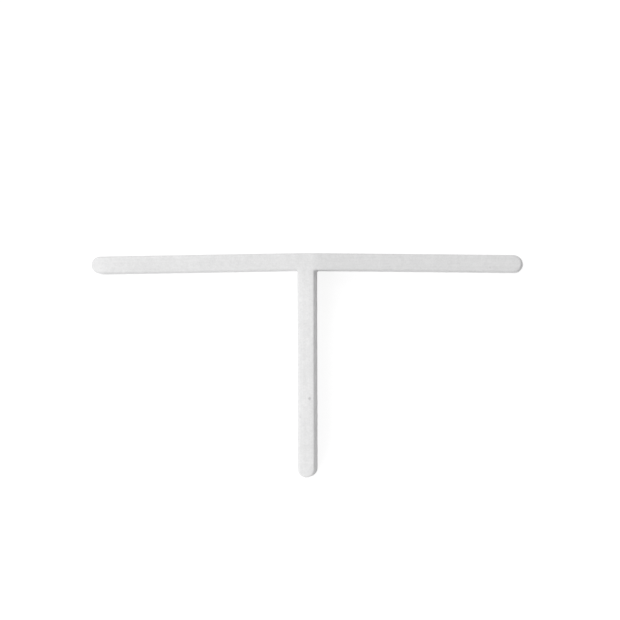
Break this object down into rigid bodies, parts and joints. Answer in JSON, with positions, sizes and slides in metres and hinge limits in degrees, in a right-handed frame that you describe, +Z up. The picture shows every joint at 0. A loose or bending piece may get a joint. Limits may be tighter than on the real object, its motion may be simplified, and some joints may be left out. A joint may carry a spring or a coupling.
{
  "type": "tile spacer",
  "caption": "Slim T-shaped moulded plastic spacer with round-ended legs, pushed into the joints of staggered tiles to keep their gap even.",
  "frame": {"origin": "middle of the junction of the legs, on the flat back face that the spacer lies on", "axes": "+X along the right arm of the bar, the stem points to -Y, +Z up from the back face to the front face"},
  "size_m": [0.049, 0.0255, 0.004],
  "materials": {
    "white_plastic": "off-white moulded polypropylene, satin, with the fine grain of an unpolished mould"
  },
  "bodies": {
    "root": {"tile_spacer": "white_plastic"}
  },
  "joints": []
}
